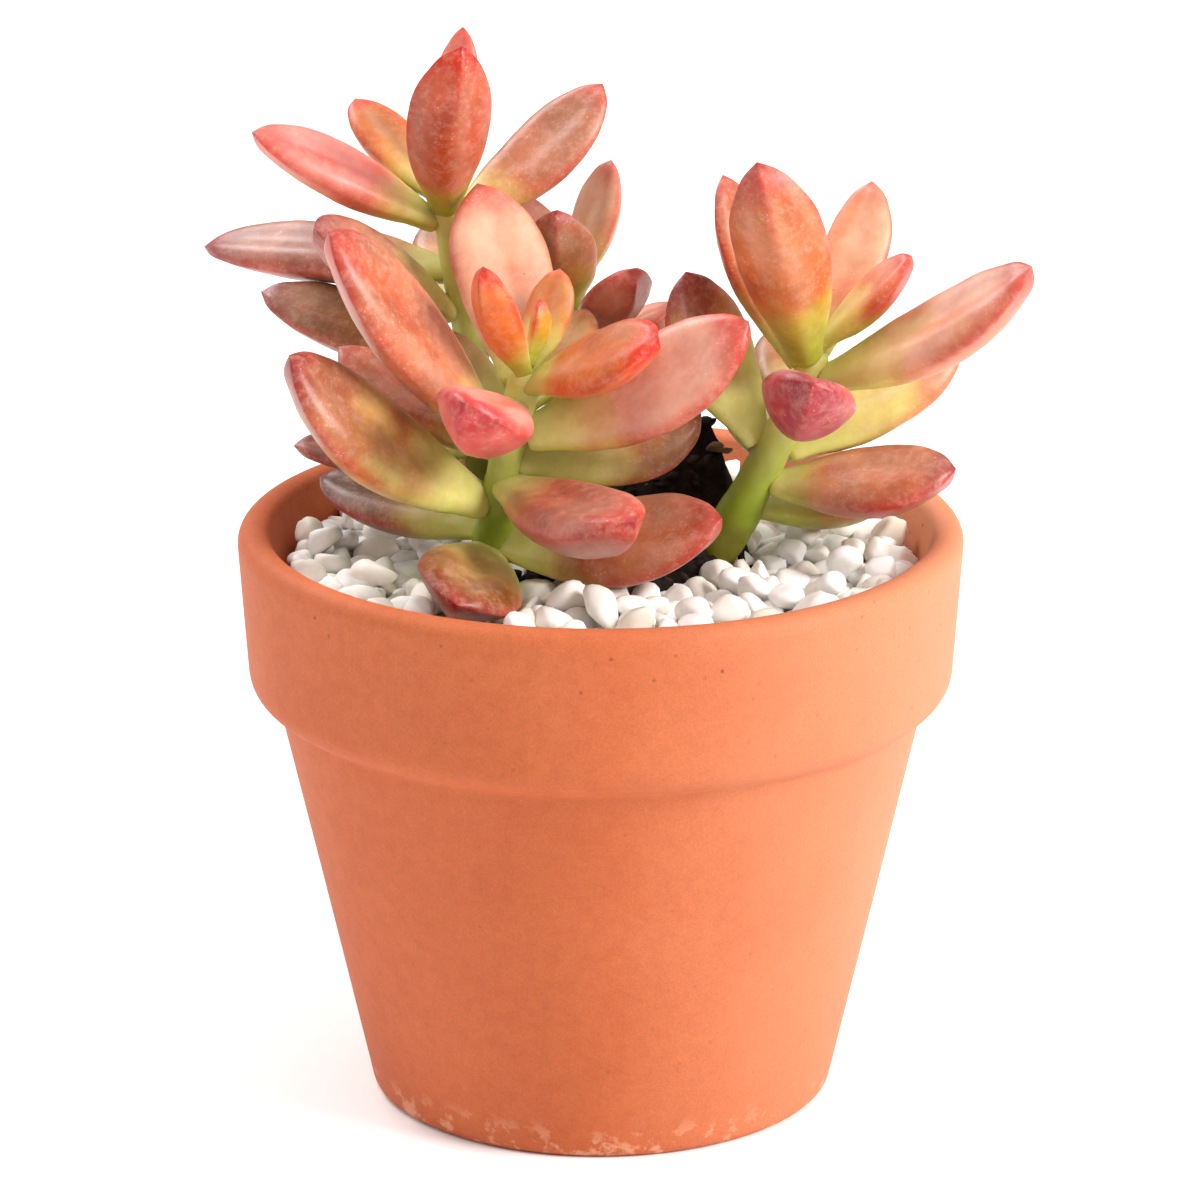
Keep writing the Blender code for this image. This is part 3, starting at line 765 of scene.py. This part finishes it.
def scatter_crumbs(soil):
    """Crumbs and bits of bark lying on the soil."""
    rng = np.random.default_rng(SEED + 1)
    shape = bmesh.new()
    bmesh.ops.create_icosphere(shape, subdivisions=2, radius=1.0)
    directions = np.array([v.co for v in shape.verts])
    faces = np.array([[v.index for v in f.verts] for f in shape.faces])
    shape.free()
    middle, turns, reaches = opening()
    points, corners, tones = [], [], []
    earth = linear(np.array([(30, 22, 20), (58, 40, 32), (96, 66, 50), (138, 104, 86)]))
    for _ in range(CRUMB_COUNT):
        turn, out = rng.uniform(-np.pi, np.pi), np.sqrt(rng.uniform(0, 1.0))
        reach = np.interp(turn, turns, reaches, period=2 * np.pi) * out
        x, y = middle + reach * np.array([np.cos(turn), np.sin(turn)])
        hit, spot, _, _ = soil.ray_cast(Vector((x, y, cad_high[2])), Vector((0, 0, -1)))
        if not hit:
            continue
        size = rng.uniform(*CRUMB_RADIUS)
        grain = stone(rng, directions) * size * np.array([rng.uniform(1.0, 1.6), 1.0, 0.75])
        corners.append(faces + len(points) * len(directions))
        points.append(grain @ turned(rng).T + np.array(spot))
        tones.append(earth[rng.choice(4, p=[0.55, 0.28, 0.14, 0.03])][None].repeat(len(directions), 0))
    corners = np.concatenate(corners).tolist()
    crumbs = mesh_piece("soil_crumbs", np.concatenate(points), corners, crumb(), "potting_soil")
    tinted(crumbs, np.concatenate(tones))


def cad_soil_top():
    """Height of the flat soil under the pebbles."""
    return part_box("pebble_bed")[0].z - 0.6 * MM


def opening():
    """Middle of the bare soil's outline in the pebble bed, and that outline's points, by angle."""
    points, _ = welded("pebble_bed")
    low = points[points[:, 2] < points[:, 2].min() + 0.05 * MM]
    reach = np.linalg.norm(low[:, :2], axis=1)
    inner = low[reach < 0.80 * reach.max()]
    middle = inner[:, :2].mean(0)
    turn = np.arctan2(inner[:, 1] - middle[1], inner[:, 0] - middle[0])
    order = turn.argsort()
    return middle, turn[order], np.linalg.norm(inner[order][:, :2] - middle, axis=1)


def settle(rng, leaves):
    """Centres and radii of pebbles dropped on the soil and pushed apart until they rest."""
    bed_low, bed_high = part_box("pebble_bed")
    wall, floor = bed_high.x + 0.4 * MM, bed_low.z - 1.0 * MM
    middle, turns, reaches = opening()
    radius = rng.uniform(*PEBBLE_RADIUS, PEBBLE_COUNT)
    radius = radius * rng.choice([0.8, 1.0], PEBBLE_COUNT, p=[0.3, 0.7])
    turn = rng.uniform(0, 2 * np.pi, PEBBLE_COUNT)
    out = np.sqrt(rng.uniform(0.12, 1.0, PEBBLE_COUNT)) * wall
    high = floor + rng.uniform(3, 14, PEBBLE_COUNT) * MM
    place = np.stack([out * np.cos(turn), out * np.sin(turn), high], -1)
    for _ in range(SETTLING_STEPS):
        place[:, 2] -= STEP_DROP
        gap = place[:, None] - place[None]
        away = np.linalg.norm(gap, axis=2) + 1e-9
        push = np.clip(STONE_CONTACT * (radius[:, None] + radius[None]) - away, 0, None)
        np.fill_diagonal(push, 0)
        place += (gap / away[..., None] * push[..., None]).sum(1) * 0.3
        gap = place[:, None] - leaves[None]
        away = np.linalg.norm(gap, axis=2) + 1e-9
        push = np.clip(radius[:, None] * 0.85 + 0.6 * MM - away, 0, None)
        worst = push.argmax(1)
        rows = np.arange(len(place))
        place += gap[rows, worst] / away[rows, worst, None] * push[rows, worst, None] * 0.25
        flat = place[:, :2] - middle
        far = np.linalg.norm(flat, axis=1) + 1e-9
        bearing = np.arctan2(flat[:, 1], flat[:, 0])
        # The dressing creeps in over the soil at the front.
        front = np.clip(-np.sin(bearing), 0, 1)
        edge = np.interp(bearing, turns, reaches, period=2 * np.pi) * (0.85 - 0.50 * front)
        inside = np.clip(edge + radius * 0.15 - far, 0, None)
        place[:, :2] += flat / far[:, None] * inside[:, None] * 0.5
        out = np.linalg.norm(place[:, :2], axis=1)
        over = np.clip(out - (wall - radius * 0.92), 0, None)
        place[:, :2] -= place[:, :2] / out[:, None] * over[:, None]
        place[:, 2] = np.maximum(place[:, 2], floor + radius * 0.85 + 2.0 * MM * (out / wall) ** 4)
    # A stone still under a leaf is a smaller stone, or none.
    room = np.linalg.norm(place[:, None] - leaves[None], axis=2).min(1)
    radius = np.minimum(radius, (room - LEAF_CLEARANCE) / 0.9)
    resting = (place[:, 2] < bed_high.z + 1.0 * MM) & (radius > SMALLEST_STONE)
    return place[resting], radius[resting]


def stone(rng, directions):
    """One pebble of radius 1: a ball cut flat on several sides, with its edges worn round."""
    count = int(rng.integers(6, 11))
    normals = unit(rng.normal(size=(count, 3)))
    offsets = rng.uniform(0.56, 0.86, count)
    facing = np.clip(directions @ normals.T, 0, None) / offsets
    power = rng.uniform(14, 32)
    reach = ((facing**power).sum(1) + 0.92**power) ** (-1 / power)
    axes = np.array([rng.uniform(1.05, 1.35), rng.uniform(0.85, 1.05), rng.uniform(0.70, 0.92)])
    return directions * reach[:, None] * axes


def turned(rng):
    """A random turn that keeps a stone's flat way roughly level."""
    lean = Matrix.Rotation(rng.normal(0, 0.45), 3, "X") @ Matrix.Rotation(rng.normal(0, 0.45), 3, "Y")
    return np.array(lean @ Matrix.Rotation(rng.uniform(0, 2 * math.pi), 3, "Z"))


def make_pebbles(material, leaves):
    rng = np.random.default_rng(SEED)
    place, radius = settle(rng, leaves)
    shape = bmesh.new()
    bmesh.ops.create_icosphere(shape, subdivisions=3, radius=1.0)
    directions = np.array([v.co for v in shape.verts])
    faces = np.array([[v.index for v in f.verts] for f in shape.faces])
    shape.free()
    tints = linear(np.array([(250, 249, 245), (246, 241, 232), (240, 235, 227), (232, 222, 206)]))
    pieces = []
    for first in range(0, len(place), PEBBLES_PER_PIECE):
        points, corners, tones = [], [], []
        for k in range(first, min(first + PEBBLES_PER_PIECE, len(place))):
            corners.append(faces + len(points) * len(directions))
            points.append(stone(rng, directions) * radius[k] @ turned(rng).T + place[k])
            tones.append((tints[rng.choice(4, p=[0.5, 0.28, 0.14, 0.08])])[None].repeat(len(directions), 0))
        name = f"pebbles_{first // PEBBLES_PER_PIECE + 1}"
        corners = np.concatenate(corners).tolist()
        piece = mesh_piece(name, np.concatenate(points), corners, material, "white_pebbles")
        tinted(piece, np.concatenate(tones))
        pieces.append(piece)
    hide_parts("pebble_bed")
    return pieces


# ---------------------------------------------------------------------------------------------------------
# Camera, lights and floor


def make_camera():
    data = bpy.data.cameras.new("camera")
    data.lens, data.sensor_width, data.shift_x = CAMERA_LENS, SENSOR_WIDTH, CAMERA_SHIFT
    data.clip_start, data.clip_end = 0.05, 20.0
    made = bpy.data.objects.new("camera", data)
    made.location = (0, -CAMERA_DISTANCE, CAMERA_HEIGHT)
    made.rotation_euler = (math.pi / 2 - CAMERA_TILT, 0, 0)
    bpy.context.scene.collection.objects.link(made)
    bpy.context.scene.camera = made


def softbox(name, place, size, power, tint=(1, 1, 1)):
    data = bpy.data.lights.new(name, "AREA")
    data.shape, data.size, data.energy, data.color = "DISK", size, power, tint
    made = bpy.data.objects.new(name, data)
    made.location = place
    made.rotation_euler = (Vector((0, 0, 0.09)) - Vector(place)).to_track_quat("-Z", "Y").to_euler()
    bpy.context.scene.collection.objects.link(made)


def make_stage():
    n = Nodes("pale_floor")
    grain = n.ramp(n.noise(40, 2, 0.5), (0.3, 0.96), (0.7, 0.98))
    n.set(Base_Color=grain, Roughness=0.9, Specular_IOR_Level=0.0)
    size = 30.0
    corners = [(-size, -size, 0), (size, -size, 0), (size, size, 0), (-size, size, 0)]
    floor = mesh_piece("floor", corners, [(0, 1, 2, 3)], n.material, smooth=False)
    make_sky()
    softbox("key", (1.22, -0.57, 0.86), 0.8, 29.0, (1.0, 0.99, 0.975))
    softbox("rim", (-1.2, 0.2, 0.6), 0.7, 3.0, (1.0, 1.0, 1.0))
    softbox("back", (-0.70, 0.85, 1.15), 0.8, 13.0, (1.0, 1.0, 1.0))
    bpy.context.scene.view_settings.view_transform = "Standard"


def make_sky():
    """A studio dome: brightest overhead, dimmer all round."""
    world = bpy.data.worlds.new("studio")
    world.use_nodes = True
    tree = world.node_tree
    where = tree.nodes.new("ShaderNodeTexCoord")
    split = tree.nodes.new("ShaderNodeSeparateXYZ")
    ramp = tree.nodes.new("ShaderNodeValToRGB")
    tree.links.new(where.outputs["Generated"], split.inputs[0])
    tree.links.new(split.outputs["Z"], ramp.inputs["Fac"])
    ramp.color_ramp.elements.new(0.5)
    for element, (place, bright) in zip(ramp.color_ramp.elements, ((0.0, 0.13), (0.5, 0.46), (1.0, 1.50))):
        element.position = place
        element.color = (bright, bright, bright, 1)
    background = tree.nodes["Background"]
    tree.links.new(ramp.outputs["Color"], background.inputs["Color"])
    background.inputs["Strength"].default_value = 1.0
    bpy.context.scene.world = world


def main():
    make_camera()
    make_stage()
    make_pot(terracotta())
    make_soil(dark_soil())
    stem_material, leaf_material = stem_skin(), leaf_skin()
    stems = sorted(n[5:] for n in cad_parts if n.startswith("stem_"))
    stem_points = {key: stem_line("stem_" + key)[0] for key in stems}
    for key in stems:
        make_stem(key, stem_material)
    leaves = sorted(n[5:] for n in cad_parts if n.startswith("leaf_"))
    low = []
    for index, name in enumerate(leaves):
        leaf = make_leaf(name, leaf_material, stem_points[name[0]], index)
        points = np.array([v.co for v in leaf.data.vertices])
        low.append(points[points[:, 2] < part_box("pebble_bed")[1].z + 6 * MM][::7])
    low = np.concatenate(low)
    cell = 1.4 * MM
    _, kept = np.unique(np.round(low / cell), axis=0, return_index=True)
    make_pebbles(pebble_stone(), low[kept])


main()
